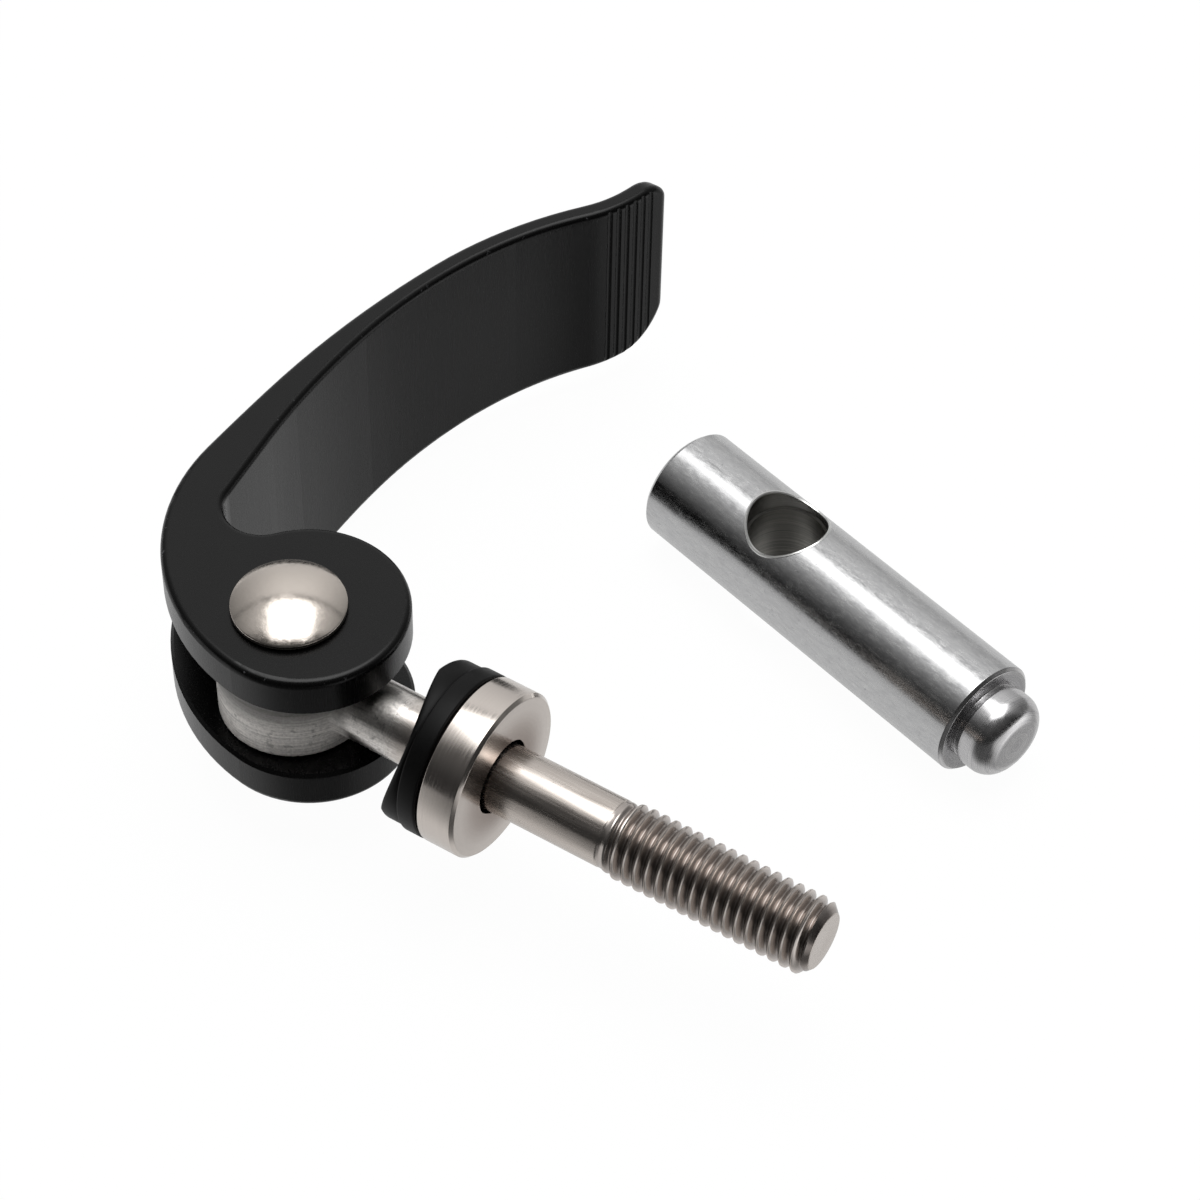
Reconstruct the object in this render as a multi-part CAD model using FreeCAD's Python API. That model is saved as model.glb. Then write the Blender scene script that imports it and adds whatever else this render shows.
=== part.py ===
import FreeCAD, Part
import os
from math import atan2, cos, degrees, radians, sin, sqrt, tan

# Folding handlebar quick release: a fork-headed cam lever riveted to an M8 eye bolt,
# a plastic saddle washer and a steel washer on the bolt, and the plain barrel nut of the set.
# Millimetres. +X runs along the bolt to its thread, +Z along the pivot rivet,
# and the origin is on the bolt's axis where the thread begins.

V = FreeCAD.Vector
UP = V(0, 0, 1)
ALONG_BOLT = V(1, 0, 0)

# Eye bolt, distances along it from the pivot
pivot_to_thread = 38.2
pivot_to_tip = 61.5
shank_radius = 3.58
thread_radius = 3.925
thread_run_out = 0.6
tip_chamfer = 1.0
eye_radius = 7.8
eye_chamfer = 0.4

# Lever head
lever_width = 18.6
slot_width = 9.3
slot_side_clearance = 0.3
slot_depth = 9.4
slot_facing = -39.0
slot_swing_room = 3.0
cam_radius = 10.55
cam_throw = 1.6
cam_throw_angle = 52.0
edge_round = 0.8
slot_edge_break = 0.35

# Neck and notch between the head and the blade
neck_leaves_cam = -97.5
neck_radius = 23.0
notch_radius = 4.0

# Blade: even bends along its outer face, and the heading where each ends, from +Y towards the bolt
root_length = 10.0
root_heading = 1.5
back_length = 26.0
back_heading = 14.5
hook_length = 19.0
hook_heading = 37.0
flare_length = 5.6
flare_heading = 14.0
tip_length = 3.2
blade_root_thickness = 5.3
blade_tip_thickness = 2.4
blade_taper_length = 39.0
blade_drop = 7.7
blade_rise_to_tip = 3.3
tip_low_round = 6.6
tip_high_round = 3.4

# Grip grooves across the inner face of the tip
groove_count = 6
groove_pitch = 1.15
groove_radius = 0.45
groove_depth = 0.18
groove_inset = 1.6

# Pivot rivet
rivet_radius = 3.0
rivet_running_clearance = 0.05
rivet_seat_clearance = 0.02
rivet_head_radius = 5.85
rivet_seat_radius = 4.7
rivet_undercut = 0.3
rivet_rim_height = 0.45
rivet_dome_height = 1.7
rivet_tail_radius = 4.4
rivet_tail_depth = 1.4

# Washers on the bolt
washer_radius = 8.9
washer_bore_radius = 4.1
washer_thickness = 4.4
washer_chamfer = 0.35
pivot_to_clamp_face = 25.2
saddle_gap = 0.05
saddle_flange = 2.1
saddle_low = 0.7
saddle_step = 0.25
saddle_trough_radius = 16.0
saddle_horn_flat = 0.7
saddle_turn = 46.0

# Barrel nut, lying beside the lever
nut_radius = 6.45
nut_length = 45.4
nut_end_chamfer = 0.5
nut_shoulder_chamfer = 0.35
nut_hole_radius = 4.5
nut_hole_from_end = 15.6
nut_nipple_radius = 4.8
nut_nipple_length = 4.6
nut_nipple_round = 2.4
nut_neck_depth = 0.35
nut_neck_width = 0.7
nut_heading = -15.66
nut_end_x = 13.9
nut_end_y = 53.1

half_width = lever_width / 2
half_slot = slot_width / 2
eye_height = slot_width - 2 * slot_side_clearance
floor_z = -half_width - blade_drop
blade_length = root_length + back_length + hook_length + flare_length + tip_length
side_reach = 2 * blade_length
flat_enough = 0.001
steep_edge = 0.9


def polar(angle):
    """Unit vector in the lever's plane at an angle in degrees from the bolt."""
    return V(cos(radians(angle)), sin(radians(angle)), 0)


def blade_stations():
    """(distance, heading) pairs along the outer face, with one more halfway through each even bend."""
    stations = [(0.0, 0.0)]
    for length, end_heading in [(root_length, root_heading), (back_length, back_heading),
                                (hook_length, hook_heading), (flare_length, flare_heading),
                                (tip_length, flare_heading)]:
        distance, heading = stations[-1]
        stations += [(distance + length / 2, (heading + end_heading) / 2), (distance + length, end_heading)]
    return stations


def thickness_at(distance):
    """Blade thickness, which eases from the root's to the tip's."""
    left = max(1.0 - distance / blade_taper_length, 0.0)
    return blade_tip_thickness + (blade_root_thickness - blade_tip_thickness) * left ** 2


def onward(heading):
    """Unit vector along the blade at a heading in degrees from +Y towards the bolt."""
    return polar(90.0 - heading)


def blade_faces(start):
    """Points of the blade's outer and inner faces at each station, from the neck to the tip."""
    stations = blade_stations()
    outer = [V(start)]
    for (s0, h0), (s1, h1) in zip(stations, stations[1:]):
        bend = radians(h1 - h0) / 2
        chord = (s1 - s0) * (sin(bend) / bend if bend else 1.0)
        outer.append(outer[-1] + onward((h0 + h1) / 2) * chord)
    inner = [spot + onward(heading + 90.0) * thickness_at(distance)
             for spot, (distance, heading) in zip(outer, stations)]
    return outer, inner


def tangent_arcs(points, heading):
    """Arcs through the points, each tangent to the one before it, that set off at a heading."""
    edges = []
    for begin, end in zip(points, points[1:]):
        chord = end - begin
        chord_heading = 90.0 - degrees(atan2(chord.y, chord.x))
        turn = chord_heading - heading
        rise = onward(chord_heading - 90.0) * (chord.Length / 2 * tan(radians(turn) / 2))
        if rise.Length < flat_enough:
            edges.append(Part.makeLine(begin, end))
        else:
            edges.append(Part.Arc(begin, begin + chord / 2 + rise, end).toShape())
        heading = chord_heading + turn
    return edges


class Plan:
    """The lever seen along the rivet: cam, notch, blade and neck, each tangent to the next."""

    def __init__(self):
        self.cam = polar(cam_throw_angle) * cam_throw
        leave = polar(neck_leaves_cam)
        self.neck = self.cam + leave * (cam_radius - neck_radius)
        self.neck_end = self.cam + leave * cam_radius
        self.outer, inner = blade_faces(self.neck - V(neck_radius, 0, 0))
        self.wall = (inner[1] - inner[0]).normalize()
        self.beside = V(self.wall.y, -self.wall.x, 0)
        self.notch = self.notch_centre(inner[0])
        wall_start = self.notch - self.beside * notch_radius
        self.inner = [wall_start] + [spot for spot in inner
                                     if (spot - wall_start).dot(self.wall) > notch_radius / 2]
        tip_across = (self.inner[-1] - self.outer[-1]) * 0.5
        self.tip = self.outer[-1] + tip_across + V(-tip_across.y, tip_across.x, 0)

    def notch_centre(self, wall_spot):
        """Centre of the round notch that touches the blade's inner wall and the cam."""
        first = wall_spot + self.beside * notch_radius
        away = first - self.cam
        reach = cam_radius + notch_radius
        back = away.dot(self.wall) - sqrt(away.dot(self.wall) ** 2 - away.dot(away) + reach ** 2)
        return first - self.wall * back

    def outer_face(self):
        return tangent_arcs(self.outer, 0.0)

    def inner_face(self):
        return tangent_arcs(self.inner, 90.0 - degrees(atan2(self.wall.y, self.wall.x)))

    def wire(self):
        to_notch = (self.notch - self.cam).normalize()
        cam_end = self.cam + to_notch * cam_radius
        notch_low = self.notch - (to_notch + self.beside).normalize() * notch_radius
        neck_start = self.outer[0]
        neck_middle = self.neck + (neck_start + self.neck_end - self.neck * 2).normalize() * neck_radius
        edges = [Part.Arc(self.neck_end, self.cam + polar(0) * cam_radius, cam_end).toShape(),
                 Part.Arc(cam_end, notch_low, self.inner[0]).toShape()]
        edges += self.inner_face()
        edges.append(Part.Arc(self.inner[-1], self.tip, self.outer[-1]).toShape())
        edges += self.outer_face()[::-1]
        edges.append(Part.Arc(neck_start, neck_middle, self.neck_end).toShape())
        return Part.Wire(Part.sortEdges(edges)[0])


def box_between(low, high):
    size = high - low
    return Part.makeBox(size.x, size.y, size.z, low)


def side_view(plan):
    """Lever seen along the bolt: level top, underside that drops behind the head, rounded tip."""
    def spot(y, z):
        return V(-side_reach, y, z)

    def bend(y, z, radius, start, end):
        angles = [radians(a) for a in (start, (start + end) / 2, end)]
        return Part.Arc(*[spot(y + radius * cos(a), z + radius * sin(a)) for a in angles]).toShape()

    top, head_low = half_width, -half_width
    tip_low = floor_z + blade_rise_to_tip
    drop_round = blade_drop / 2
    drop_starts = plan.notch.y - notch_radius
    drop_ends = drop_starts + blade_drop
    low_corner = plan.tip.y - tip_low_round
    high_corner = plan.tip.y - tip_high_round
    edges = [
        Part.makeLine(spot(high_corner, top), spot(-side_reach, top)),
        Part.makeLine(spot(-side_reach, top), spot(-side_reach, head_low)),
        Part.makeLine(spot(-side_reach, head_low), spot(drop_starts, head_low)),
        bend(drop_starts, head_low - drop_round, drop_round, 90, 0),
        bend(drop_ends, head_low - drop_round, drop_round, 180, 270),
        Part.makeLine(spot(drop_ends, floor_z), spot(low_corner, tip_low)),
        bend(low_corner, tip_low + tip_low_round, tip_low_round, -90, 0),
        Part.makeLine(spot(plan.tip.y, tip_low + tip_low_round), spot(plan.tip.y, top - tip_high_round)),
        bend(high_corner, top - tip_high_round, tip_high_round, 0, 90),
    ]
    return Part.Face(Part.Wire(edges)).extrude(V(2 * side_reach, 0, 0))


def round_rims(solid):
    """Break the rims of the plan's walls, and so not the upright lines or the seams across a face."""
    rims = []
    for edge in solid.Edges:
        middle = edge.tangentAt((edge.FirstParameter + edge.LastParameter) / 2)
        seam = edge.BoundBox.YLength < flat_enough
        if abs(middle.z) < steep_edge and not seam:
            rims.append(edge)
    return solid.makeFillet(edge_round, rims)


def lever():
    plan = Plan()
    blank = Part.Face(plan.wire()).extrude(UP * (lever_width + blade_drop))
    blank.translate(UP * floor_z)
    blank = blank.common(side_view(plan))
    under_head = box_between(V(plan.notch.x, -side_reach, floor_z),
                             V(side_reach, plan.notch.y + cam_radius, -half_width))
    blank = blank.cut(under_head)
    blank = round_rims(blank.removeSplitter())
    hole = Part.makeCylinder(rivet_radius + rivet_seat_clearance, 2 * lever_width, UP * -lever_width)
    sink = Part.makeCone(rivet_tail_radius + rivet_seat_clearance, rivet_radius + rivet_seat_clearance,
                         rivet_tail_depth, UP * -half_width)
    solid = break_slot_rims(blank.cut(fork_slot())).cut(hole).cut(sink)
    for i in range(groove_count):
        solid = solid.cut(grip_groove(plan, i))
    return solid


def fork_slot():
    """Slot for the bolt's eye, open on the neck's side too, so that the bolt can swing past the cam."""
    slot = box_between(V(-slot_depth, -side_reach, -half_slot), V(side_reach, side_reach, half_slot))
    slot.rotate(V(0, 0, 0), UP, slot_facing)
    swing = box_between(V(-side_reach, -side_reach, -half_slot), V(side_reach, slot_swing_room, half_slot))
    return slot.fuse(swing)


def break_slot_rims(solid):
    """Break the slot's outer rims, which are the arcs in its upper and lower faces."""
    rims = [edge for edge in solid.Edges
            if isinstance(edge.Curve, Part.Circle) and edge.BoundBox.ZLength < flat_enough
            and abs(abs(edge.BoundBox.Center.z) - half_slot) < flat_enough]
    return solid.makeChamfer(slot_edge_break, rims)


def grip_groove(plan, i):
    """One shallow round groove across the inner face, counted back from the tip."""
    back = groove_inset + i * groove_pitch
    for edge in plan.inner_face()[::-1]:
        if back <= edge.Length:
            break
        back -= edge.Length
    place = edge.getParameterByLength(max(edge.Length - back, 0.0))
    along = edge.tangentAt(place)
    out = V(along.y, -along.x, 0)
    spot = edge.valueAt(place) + out * (groove_radius - groove_depth)
    return Part.makeCylinder(groove_radius, lever_width + blade_drop, V(spot.x, spot.y, floor_z))


def turned(profile, base, axis):
    """Solid turned from (distance along the axis, radius) pairs."""
    side = ALONG_BOLT if axis == UP else UP
    spots = [base + axis * along + side * radius for along, radius in profile]
    face = Part.Face(Part.makePolygon(spots + spots[:1]))
    return face.revolve(base, axis, 360)


def eye_bolt():
    flat = eye_radius - eye_chamfer
    eye = turned([(0, 0), (0, flat), (eye_chamfer, eye_radius), (eye_height - eye_chamfer, eye_radius),
                  (eye_height, flat), (eye_height, 0)], UP * (-eye_height / 2), UP)
    stem = turned([(0, 0), (0, shank_radius),
                   (pivot_to_thread - thread_run_out, shank_radius), (pivot_to_thread, thread_radius),
                   (pivot_to_tip - tip_chamfer, thread_radius), (pivot_to_tip, thread_radius - tip_chamfer),
                   (pivot_to_tip, 0)], V(0, 0, 0), ALONG_BOLT)
    hole = Part.makeCylinder(rivet_radius + rivet_running_clearance, 2 * eye_height, UP * -eye_height)
    return eye.fuse(stem).removeSplitter().cut(hole)


def pivot_rivet():
    """Rivet with a domed head above the fork and a tail set flush into the lower cheek."""
    tail = turned([(0, 0), (0, rivet_tail_radius), (rivet_tail_depth, rivet_radius),
                   (lever_width, rivet_radius), (lever_width, 0)], UP * -half_width, UP)
    rim_low = half_width + rivet_undercut
    rim_high = rim_low + rivet_rim_height
    crown = rim_high + rivet_dome_height
    seat = turned([(0, 0), (0, rivet_seat_radius), (rivet_undercut, rivet_head_radius),
                   (rivet_undercut + rivet_rim_height, rivet_head_radius),
                   (rivet_undercut + rivet_rim_height, 0)], UP * half_width, UP)
    ball = (rivet_head_radius ** 2 + rivet_dome_height ** 2) / (2 * rivet_dome_height)
    dome = Part.makeSphere(ball, UP * (crown - ball))
    dome = dome.common(Part.makeCylinder(rivet_head_radius, rivet_dome_height, UP * rim_high))
    return tail.fuse(seat).fuse(dome).removeSplitter()


def steel_washer():
    c = washer_chamfer
    outer, bore, thick = washer_radius, washer_bore_radius, washer_thickness
    return turned([(0, bore), (0, outer - c), (-c, outer), (c - thick, outer), (-thick, outer - c),
                   (-thick, bore)], ALONG_BOLT * pivot_to_clamp_face, ALONG_BOLT)


def cam_saddle_washer():
    """Moulded washer: a round flange under a body whose back is a trough for the cam."""
    flange_front = pivot_to_clamp_face - washer_thickness - saddle_gap
    flange_back = flange_front - saddle_flange
    trough_low = flange_back - saddle_low
    body_radius = washer_radius - saddle_step
    rise = saddle_trough_radius - sqrt(saddle_trough_radius ** 2 - body_radius ** 2)
    horn_tip = trough_low - rise + saddle_horn_flat
    flange = Part.makeCylinder(washer_radius, saddle_flange, ALONG_BOLT * flange_back, ALONG_BOLT)
    body = Part.makeCylinder(body_radius, flange_back - horn_tip, ALONG_BOLT * horn_tip, ALONG_BOLT)
    trough = Part.makeCylinder(saddle_trough_radius, 4 * washer_radius,
                               V(trough_low - saddle_trough_radius, 0, -2 * washer_radius), UP)
    bore = Part.makeCylinder(washer_bore_radius, washer_radius * 2, ALONG_BOLT * (horn_tip - washer_radius / 2),
                             ALONG_BOLT)
    solid = flange.fuse(body).removeSplitter().cut(trough).cut(bore)
    solid.rotate(V(0, 0, 0), ALONG_BOLT, saddle_turn)
    return solid


def barrel_nut():
    """Plain turned barrel with an upright cross hole and a domed nipple on a necked shoulder."""
    along = polar(nut_heading)
    end = V(nut_end_x, nut_end_y, floor_z + nut_radius)
    c, s = nut_end_chamfer, nut_shoulder_chamfer
    neck = nut_nipple_radius - nut_neck_depth
    nipple_end = nut_length + nut_nipple_length
    body = turned([(0, 0), (0, nut_radius - c), (c, nut_radius), (nut_length - s, nut_radius),
                   (nut_length, nut_radius - s), (nut_length, neck), (nut_length + nut_neck_width, neck),
                   (nut_length + nut_neck_width, nut_nipple_radius), (nipple_end, nut_nipple_radius),
                   (nipple_end, 0)], end, along)
    tip_rims = [edge for edge in body.Edges
                if abs((edge.BoundBox.Center - end).dot(along) - nipple_end) < flat_enough]
    body = body.makeFillet(nut_nipple_round, tip_rims)
    hole = Part.makeCylinder(nut_hole_radius, 4 * nut_radius, end + along * nut_hole_from_end - UP * 2 * nut_radius)
    return body.cut(hole)


def save(name, shape):
    """Write a solid with the start of the thread as origin."""
    shape = shape.removeSplitter()
    shape.translate(ALONG_BOLT * -pivot_to_thread)
    if len(shape.Solids) != 1 or not shape.isValid():
        raise ValueError(name + " is not one sound solid")
    shape.Solids[0].exportStep("parts/" + name + ".step")


os.makedirs("parts", exist_ok=True)
save("lever", lever())
save("pivot_rivet", pivot_rivet())
save("eye_bolt", eye_bolt())
save("cam_saddle_washer", cam_saddle_washer())
save("steel_washer", steel_washer())
save("barrel_nut", barrel_nut())
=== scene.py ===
from math import cos, pi, radians, sin, sqrt, tan

import bmesh
import bpy
from mathutils import Matrix, Vector


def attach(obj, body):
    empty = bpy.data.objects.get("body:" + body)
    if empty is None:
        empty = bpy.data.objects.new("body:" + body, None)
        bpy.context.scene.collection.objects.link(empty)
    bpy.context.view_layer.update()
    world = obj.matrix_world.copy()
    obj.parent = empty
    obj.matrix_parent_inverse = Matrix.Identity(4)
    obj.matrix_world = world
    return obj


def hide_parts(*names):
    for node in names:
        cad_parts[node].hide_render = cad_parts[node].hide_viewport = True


# Folding handlebar quick release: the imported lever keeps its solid, and the turned, forged and
# moulded pieces are made again here with their threads, rounded rims and tool marks.
# Sizes are millimetres from the pivot, with +X along the bolt, until a piece is placed.

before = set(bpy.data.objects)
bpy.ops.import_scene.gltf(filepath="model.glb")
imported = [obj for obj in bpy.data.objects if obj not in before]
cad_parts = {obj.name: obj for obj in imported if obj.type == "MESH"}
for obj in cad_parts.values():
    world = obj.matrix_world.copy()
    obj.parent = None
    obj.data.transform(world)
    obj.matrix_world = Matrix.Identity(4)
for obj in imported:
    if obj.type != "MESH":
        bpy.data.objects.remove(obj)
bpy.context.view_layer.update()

MM = 0.001
PIVOT_X = -38.2
FLOOR_Z = -17.0
FLOOR_GAP = 0.02
FLOOR_HALF_METRES = 4.0
LEVER_TOP = 9.3

# Rivet
RIVET_SHANK = 3.0
RIVET_HEAD = 5.85
RIVET_SEAT = 4.7
RIVET_SEAT_Z = 9.3
RIVET_UNDERCUT = 0.3
RIVET_HEEL_ROUND = 0.15
RIVET_RIM = 0.45
RIVET_RIM_ROUND = 0.3
RIVET_DOME = 1.7
RIVET_DOME_STEPS = 30
RIVET_TAIL = 4.4
RIVET_TAIL_DEPTH = 1.4

# Eye bolt
EYE_RADIUS = 7.8
EYE_HEIGHT = 8.7
EYE_BORE = 3.05
EYE_WALL_TO_STUB = 0.3
EYE_VOXEL = 0.15
EYE_SMOOTHINGS = 10
SHANK_RADIUS = 3.58
SHANK_SHOULDER = 0.2
FORGED_ENDS = 16.2
FORGED_FADE = 3.5
LAP = 0.8
LAP_DROP = 0.2
LAP_END = 0.1
THREAD_STARTS = 38.2
THREAD_TIP = 61.5
THREAD_PITCH = 1.25
THREAD_CREST = 3.925
THREAD_ROOT = 3.17
THREAD_STEPS = 20 * 72
FLANK_STEPS = 14
CREST_FLAT = 0.05
ROOT_FROM_CREST = 0.46
CREST_FOLD = 0.06
CREST_FOLD_WIDTH = 0.06
RUN_IN_PITCHES = 1.5
RUN_IN_DROP = 0.04
THREAD_WELD = 0.002
CORE_DROP = 0.08
CORE_STARTS = 1.1
CORE_ENDS = 0.3
TIP_CHAMFER = 1.0
TIP_ROUND = 0.12
TIP_INSET = 0.03
TIP_DISH_RADIUS = 1.2
TIP_DISH_EDGE = 0.06
TIP_DISH = 0.08

# Washers
WASHER_FRONT = 25.2
WASHER_BACK = 20.8
WASHER_RADIUS = 8.9
WASHER_BORE = 4.1
WASHER_BORE_CHAMFER = 0.2
WASHER_LIP = 3.99
WASHER_LIP_CHAMFER = 0.06
WASHER_CHAMFER = 0.35
WASHER_LIP_ROUND = 0.02
WASHER_FACE_ROUND = 0.08
WASHER_RIM_ROUND = 0.1
WASHER_BORE_ROUND = 0.05
# How far from the bore the painted shade on the washer face reaches
BORE_SHADE_REACH = 8.2
FLANGE_FRONT = 20.75
FLANGE_BACK = 18.65
FLANGE_ROUND = 0.25
TROUGH_LOW = 17.95
TROUGH_RADIUS = 16.0
HORN_TIP = 16.11
SADDLE_BODY = 8.65
SADDLE_GROOVE = 0.14
SADDLE_GROOVE_ROUND = 0.05
SADDLE_ROUND = 0.55
SADDLE_ROUND_STEPS = 6
SADDLE_BACK_STEPS = 12
SADDLE_TURN = 46.0

# Barrel nut
NUT_RADIUS = 6.45
NUT_LENGTH = 45.4
NUT_FAR_CHAMFER = 0.5
NUT_NEAR_CHAMFER = 0.35
NUT_STEPS = 60
NUT_ROUND = 0.1
NUT_HOLE = 4.5
NUT_HOLE_FROM_END = 15.6
NUT_BORE = 4.28
NUT_MOUTH_Z = 3.6
NUT_MOUTH_SLOPE = 0.2
NIPPLE_RADIUS = 4.8
NIPPLE_NECK = 4.45
NIPPLE_NECK_LENGTH = 0.7
NIPPLE_HEEL_ROUND = 0.12
NIPPLE_END = 50.0
NIPPLE_ROUND = 2.4
NUT_HEADING = -15.66
NUT_END = (13.9, 53.1)
BURR_RADIUS = 0.19
BURR_STEPS = 260
BURR_SIDES = 7
BURR_SUNK_SHARE = 0.6
BURR_BUMPS_PER_MM = 0.9
BURR_THIN_SHARE = 0.25
BURR_THICK_SHARE = 1.5

# Where a finish or a painted shade changes on its piece
SCUFF_STARTS = 0.02
SCUFF_FULL = 0.1
SCUFF_FADES = 0.35
SCUFF_ENDS = 0.7
EYE_DULL_REACH = 2.0
# Heights on the eye over which the painted shade under the upper cheek grows
CHEEK_SHADE_BOTTOM = -1.0
CHEEK_SHADE_TOP = 2.5
PARTING_HALF_WIDTH = 0.1
PARTING_FADE = 0.35
# Shares of the crest radius over which the thread's painted shade goes from dark to pale
THREAD_DARK_SHARE = 0.83
THREAD_BRIGHT_SHARE = 0.98
TURNED_END_STARTS = 0.45
TURNED_END_FULL = 0.3
HOLE_EDGE_IN = 0.02
HOLE_EDGE_OUT = 0.03

# Light: radiances, and where they change by a direction's parts along X, up and away from the camera
BACKDROP_LOW = 0.68
BACKDROP_HIGH = 0.92
BACKDROP_TOP = 0.9
BACKDROP_FADES = -0.25
BACKDROP_FULL = 0.05
BACKDROP_SIDE_SHARE = 0.25
BACKDROP_SIDE_STARTS = 0.1
BACKDROP_SIDE_ENDS = 0.95
CAMERA_SIDE_LOW = 0.05
CAMERA_SIDE_HIGH = 0.1
CAMERA_SIDE_RISES = 0.3
CAMERA_SIDE_TOP = 0.75
FLOOR_SEEN_GLOW = 0.96
FLOOR_MIRRORED_SHARE = 0.86
FLOOR_GAIN = 1.012
BELOW_FRONT = 0.0
BELOW_BEHIND = 0.79
BELOW_FADES = -0.75
BELOW_FULL = -0.3
BELOW_RIGHT = 0.76
BELOW_RIGHT_STARTS = 0.72
BELOW_RIGHT_FULL = 0.9
DIP_PLACE = 0.56
DIP_HALF_WIDTH = 0.25
DIP_SHARE = 0.42

# The softbox overhead and the seam behind it, as shares of their height
SOFTBOX_RADIANCE = 3.4
SOFTBOX_FAR = 0.13
SOFTBOX_HALF_LENGTH = 0.4
SOFTBOX_HALF_WIDTH = 0.36
SOFTBOX_END_BLUR = 0.09
SOFTBOX_SIDE_BLUR = 0.15
SEAM_PLACE = 0.72
SEAM_HALF_WIDTH = 0.13
SEAM_SHARE = 0.35
LOWEST_LIFT = 0.05

# Camera: angles in degrees, and its place from the pivot along its own axes
CAMERA_ELEVATION = 47.703
CAMERA_AZIMUTH = 31.693
CAMERA_ROLL = 1.3277
CAMERA_RIGHT = 30.689
CAMERA_UP = 7.002
CAMERA_BACK = 350.647
CAMERA_LENS = 105.0
CAMERA_SENSOR = 36.0


def linear(hex_colour):
    """sRGB hex to linear RGBA."""
    channels = [int(hex_colour[i:i + 2], 16) / 255 for i in (1, 3, 5)]
    bright = [c / 12.92 if c <= 0.04045 else ((c + 0.055) / 1.055) ** 2.4 for c in channels]
    return (*bright, 1.0)


def connect(tree, node, links):
    """Set or link a node's inputs, named in a dict or in their own order in a tuple."""
    named = links if isinstance(links, dict) else dict(enumerate(links))
    for socket, source in named.items():
        if isinstance(source, bpy.types.Node):
            source = next(output for output in source.outputs if output.enabled)
        if isinstance(source, bpy.types.NodeSocket):
            tree.links.new(source, node.inputs[socket])
        else:
            node.inputs[socket].default_value = source


def add(tree, kind, links=(), **settings):
    """Add a node with its settings and links."""
    node = tree.nodes.new(kind)
    for name, value in settings.items():
        setattr(node, name, value)
    connect(tree, node, links)
    return node


# Meshes

def rounded(corners, steps=6):
    """Profile points from (along, radius, round) corners, each round an arc."""
    points = []
    count = len(corners)
    for i, (along, radius, fillet) in enumerate(corners):
        here = Vector((along, radius))
        if not fillet:
            points.append(here)
            continue
        before = (Vector(corners[i - 1][:2]) - here).normalized()
        after = (Vector(corners[(i + 1) % count][:2]) - here).normalized()
        half = before.angle(after) / 2
        centre = here + (before + after).normalized() * (fillet / sin(half))
        first = (here + before * (fillet / tan(half)) - centre).normalized()
        last = (here + after * (fillet / tan(half)) - centre).normalized()
        points += [centre + first.slerp(last, k / steps) * fillet for k in range(steps + 1)]
    return points


def revolved(profile_at, segments, closed=False):
    """Mesh turned about X from the (along, radius) points that profile_at gives for each angle."""
    bm = bmesh.new()
    columns = []
    for i in range(segments):
        angle = 2 * pi * i / segments
        points = profile_at(angle)
        columns.append([(along, radius * cos(angle), radius * sin(angle)) for along, radius in points])
    rows = [[bm.verts.new(column[k]) for column in columns] for k in range(len(columns[0]))]
    pairs = list(zip(rows, rows[1:])) + ([(rows[-1], rows[0])] if closed else [])
    for low, high in pairs:
        for i in range(segments):
            j = (i + 1) % segments
            bm.faces.new((low[i], low[j], high[j], high[i]))
    bmesh.ops.remove_doubles(bm, verts=bm.verts, dist=1e-5)
    bmesh.ops.recalc_face_normals(bm, faces=bm.faces)
    mesh = bpy.data.meshes.new("turned")
    bm.to_mesh(mesh)
    bm.free()
    return mesh


def joined(*meshes):
    """One mesh from several."""
    bm = bmesh.new()
    for mesh in meshes:
        bm.from_mesh(mesh)
    mesh = bpy.data.meshes.new("joined")
    bm.to_mesh(mesh)
    bm.free()
    return mesh


def evaluated(scratch):
    """Plain mesh of a scratch object with its modifiers, which is then removed."""
    bpy.context.view_layer.update()
    depsgraph = bpy.context.evaluated_depsgraph_get()
    mesh = bpy.data.meshes.new_from_object(scratch.evaluated_get(depsgraph))
    bpy.data.objects.remove(scratch)
    return mesh


def scratch_object(mesh):
    scratch = bpy.data.objects.new("scratch", mesh)
    bpy.context.scene.collection.objects.link(scratch)
    return scratch


def piece(name, mesh, material, body, node, sharp=35.0, place=Matrix()):
    """Put a mesh in the frame as a piece that rides on a body and stands for a CAD node."""
    mesh.transform(Matrix.Scale(MM, 4) @ Matrix.Translation((PIVOT_X, 0, 0)) @ place)
    mesh.name = name
    mesh.shade_smooth()
    mesh.set_sharp_from_angle(angle=radians(sharp))
    mesh.materials.clear()
    mesh.materials.append(material)
    made = bpy.data.objects.new(name, mesh)
    bpy.context.scene.collection.objects.link(made)
    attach(made, body)
    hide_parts(node)


# Materials

def new_material(name):
    """A material, its tree and its shader."""
    material = bpy.data.materials.new(name)
    material.use_nodes = True
    tree = material.node_tree
    return material, tree, tree.nodes["Principled BSDF"]


def grain(tree, place, size, detail=3.0, roughness=0.5):
    """Uneven pattern with cells of this many millimetres, or of three sizes along X, Y and Z."""
    sizes = size if isinstance(size, tuple) else (size, size, size)
    cells = add(tree, "ShaderNodeMapping", {"Vector": place, "Scale": [1 / (each * MM) for each in sizes]})
    return add(tree, "ShaderNodeTexNoise", {"Vector": cells, "Scale": 1.0, "Detail": detail,
                                            "Roughness": roughness})


def two_tone(tree, pattern, start, dark, end, pale):
    """Colour that goes from a dark tone to a pale one while the pattern goes from start to end."""
    share = add(tree, "ShaderNodeMapRange", (pattern, start, end))
    return add(tree, "ShaderNodeMix", {0: share, 6: linear(dark), 7: linear(pale)}, data_type="RGBA")


def about_axis(tree, place):
    """Distance from the X axis, and a place in which a whole ring round that axis is one spot."""
    parts = add(tree, "ShaderNodeSeparateXYZ", (place,)).outputs
    across = add(tree, "ShaderNodeCombineXYZ", (0.0, parts["Y"], parts["Z"]))
    radius = add(tree, "ShaderNodeVectorMath", (across,), operation="LENGTH")
    return radius, add(tree, "ShaderNodeCombineXYZ", (radius, parts["X"]))


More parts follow.
